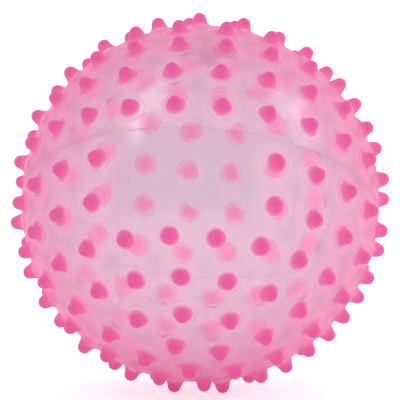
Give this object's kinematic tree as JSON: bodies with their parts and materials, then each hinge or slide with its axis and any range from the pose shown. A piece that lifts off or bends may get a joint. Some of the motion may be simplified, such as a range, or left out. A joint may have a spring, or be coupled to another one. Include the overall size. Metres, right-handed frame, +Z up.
{
  "type": "sensory ball",
  "caption": "Soft inflatable ball with a translucent skin, rings of rounded grip nubs all over, a seam round its middle and a push-in air plug, to roll, squeeze and feel.",
  "frame": {"origin": "centre of the ball", "axes": "+Z up as the ball lies on three nubs, -Y towards the front, where the bare panel is, +X to the right seen from the front; the pole with the valve leans up and back"},
  "size_m": [0.1985, 0.199, 0.1985],
  "materials": {
    "skin": "translucent pale pink soft plastic, satin gloss",
    "nub": "opaque hot pink soft plastic, satin",
    "valve": "milky pale pink soft plastic"
  },
  "bodies": {
    "ball": {"upper_skin": "skin", "lower_skin": "skin", "upper_nub_ring_1": "nub", "upper_nub_ring_2": "nub", "upper_nub_ring_3": "nub", "upper_nub_ring_4": "nub", "upper_nub_ring_5": "nub", "upper_nub_ring_6": "nub", "lower_nub_ring_1": "nub", "lower_nub_ring_2": "nub", "lower_nub_ring_3": "nub", "lower_nub_ring_4": "nub", "lower_nub_ring_5": "nub", "lower_nub_ring_6": "nub", "lower_end_nub": "nub", "valve_seat": "valve"},
    "plug": {"valve_plug": "valve"}
  },
  "joints": [
    {"name": "plug_pull", "type": "slide", "parent": "ball", "child": "plug", "axis": [0.0599, 0.5298, 0.846], "range_m": [0, 0.016]}
  ]
}
